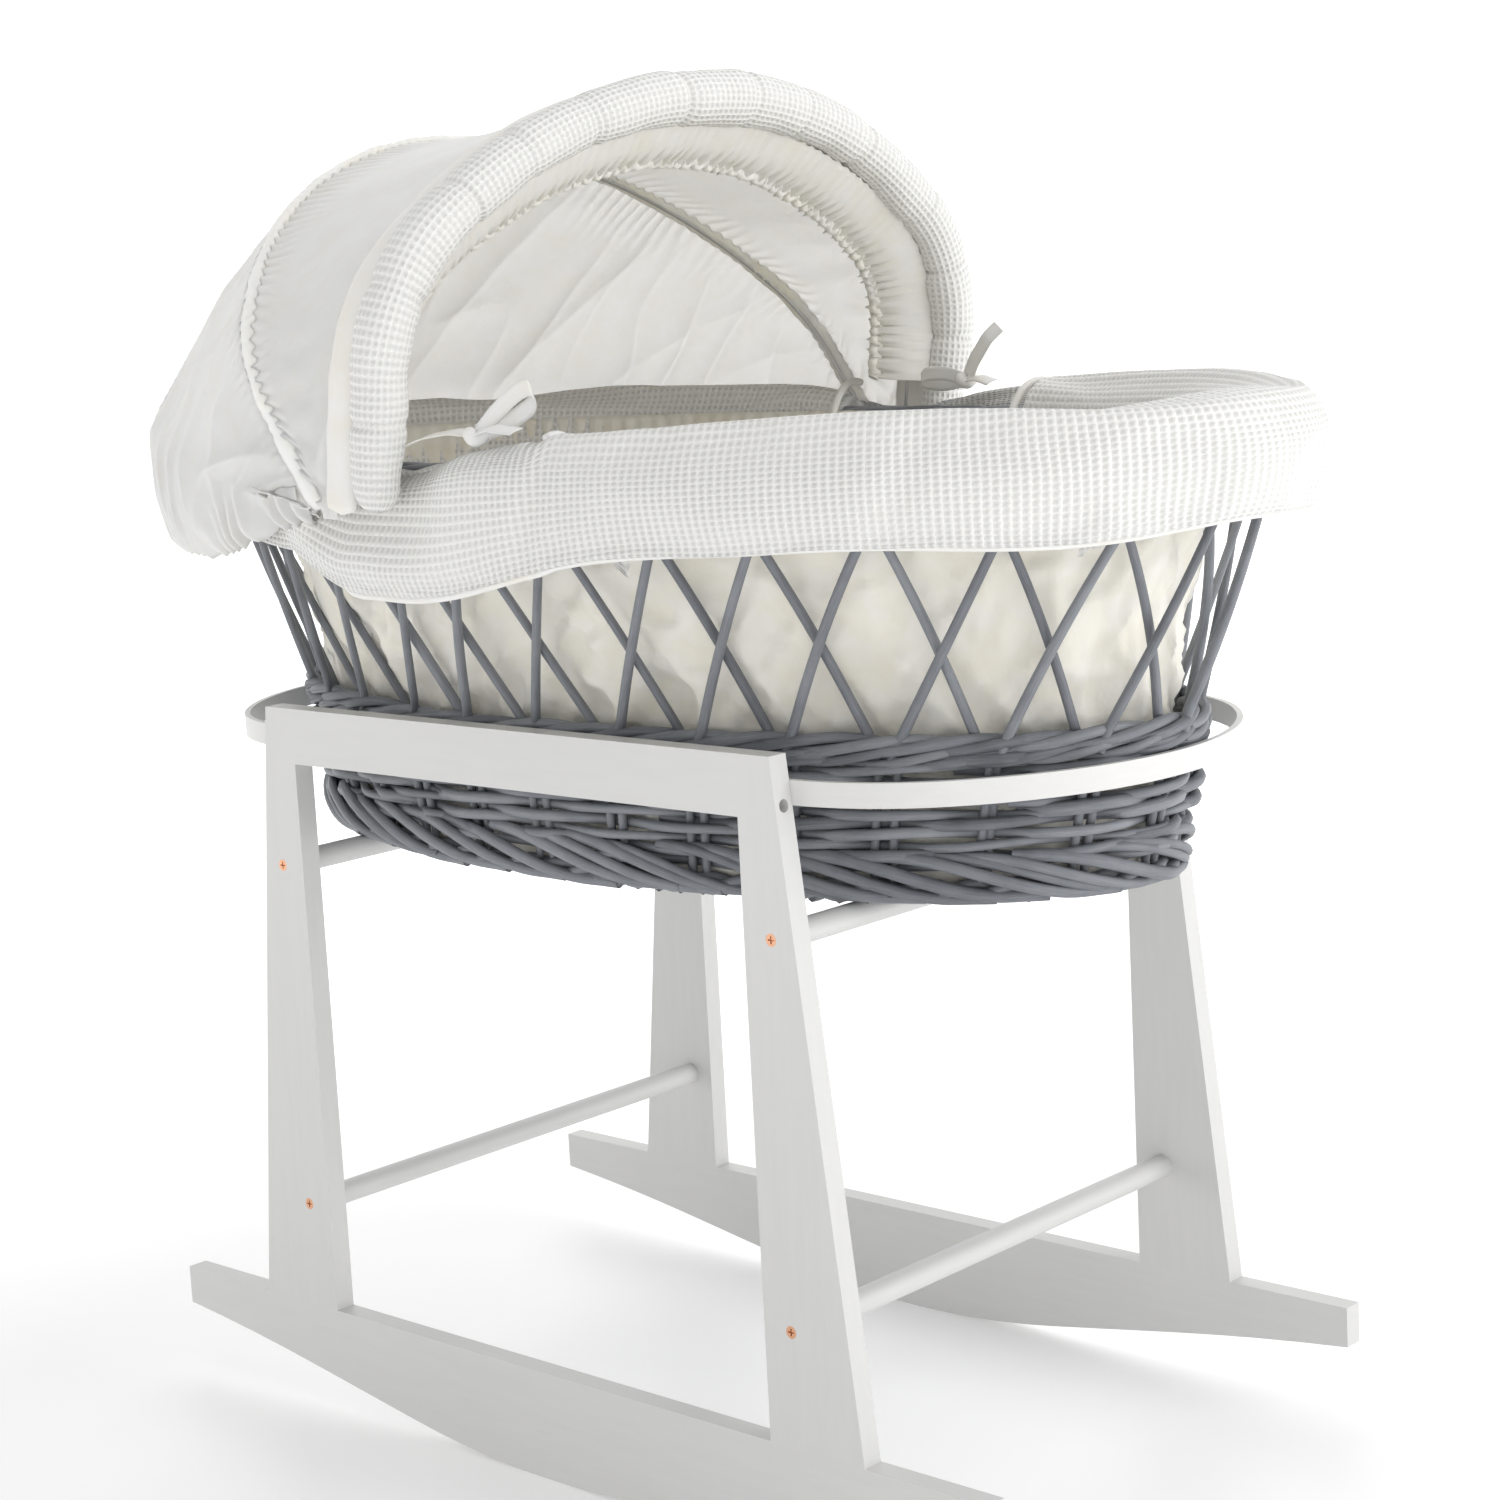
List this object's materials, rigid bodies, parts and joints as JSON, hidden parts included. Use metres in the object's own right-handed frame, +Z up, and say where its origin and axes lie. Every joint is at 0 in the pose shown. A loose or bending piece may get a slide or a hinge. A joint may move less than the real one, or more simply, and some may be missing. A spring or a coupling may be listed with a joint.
{
  "type": "bassinet on rocking stand",
  "caption": "Oval woven bassinet with quilted liner, mattress and folding fabric hood, resting between the side frames of a wooden rocking stand.",
  "frame": {"origin": "on the floor, under the middle of the whole object", "axes": "+X towards the foot end, +Y across to the far side frame, +Z up"},
  "size_m": [0.9039, 0.5898, 0.9097],
  "materials": {
    "painted_wood": "matte white paint on beech",
    "pale_lath": "white painted bent lath",
    "bare_wood": "bare beech pins",
    "grey_wicker": "grey painted willow rods",
    "liner_cotton": "plain cream cotton",
    "waffle_quilt": "padded waffle weave cotton",
    "hood_cotton": "thin cream cotton",
    "ribbon": "white cotton ribbon",
    "mattress_cotton": "foam in a white cotton cover",
    "steel_wire": "plated spring wire",
    "zinc_steel": "zinc plated bolts and nuts",
    "brass_screw": "brass coloured countersunk screws",
    "cap_plastic": "white plastic caps"
  },
  "bodies": {
    "stand": {"leg_head_near": "painted_wood", "leg_foot_near": "painted_wood", "leg_head_far": "painted_wood", "leg_foot_far": "painted_wood", "rail_near": "painted_wood", "rail_far": "painted_wood", "rocker_near": "painted_wood", "rocker_far": "painted_wood", "upper_dowel_head": "painted_wood", "upper_dowel_foot": "painted_wood", "lower_dowel_head": "painted_wood", "lower_dowel_foot": "painted_wood", "dowel_screws": "brass_screw", "strip_screws": "brass_screw", "rail_bolts": "zinc_steel", "barrel_nuts": "zinc_steel", "rocker_pins": "bare_wood", "strip_foot": "pale_lath", "strip_head": "pale_lath"},
    "basket": {"basket_base": "grey_wicker", "foot_border": "grey_wicker", "side_weave": "grey_wicker", "waist_braid": "grey_wicker", "rim_border": "grey_wicker", "rods_leaning_foot": "grey_wicker", "rods_leaning_head": "grey_wicker", "liner_wall": "liner_cotton", "liner_floor": "liner_cotton", "quilted_skirt": "waffle_quilt", "skirt_binding": "ribbon", "tie_near": "ribbon", "tie_far": "ribbon", "hood_back_panel": "hood_cotton"},
    "mattress": {"mattress": "mattress_cotton"},
    "mid_hoop": {"mid_hoop_wire": "steel_wire", "mid_wire_caps": "cap_plastic", "mid_casing": "hood_cotton", "hood_front_panel": "hood_cotton"},
    "front_hoop": {"front_hoop_wire": "steel_wire", "front_wire_caps": "cap_plastic", "front_casing": "hood_cotton", "front_roll": "waffle_quilt", "ruffle": "hood_cotton"}
  },
  "joints": [
    {"name": "basket_lift", "type": "slide", "parent": "stand", "child": "basket", "axis": [0, 0, 1], "range_m": [0, 0.3]},
    {"name": "mattress_lift", "type": "slide", "parent": "basket", "child": "mattress", "axis": [0, 0, 1], "range_m": [0, 0.2]},
    {"name": "mid_hoop_fold", "type": "hinge", "parent": "basket", "child": "mid_hoop", "pos_m": [-0.061, 0, 0.652], "axis": [0, -1, 0], "range_deg": [0, 35], "deforming": ["hood_back_panel"]},
    {"name": "front_hoop_fold", "type": "hinge", "parent": "mid_hoop", "child": "front_hoop", "pos_m": [-0.061, 0, 0.652], "axis": [0, -1, 0], "range_deg": [0, 23], "deforming": ["hood_front_panel"]}
  ]
}
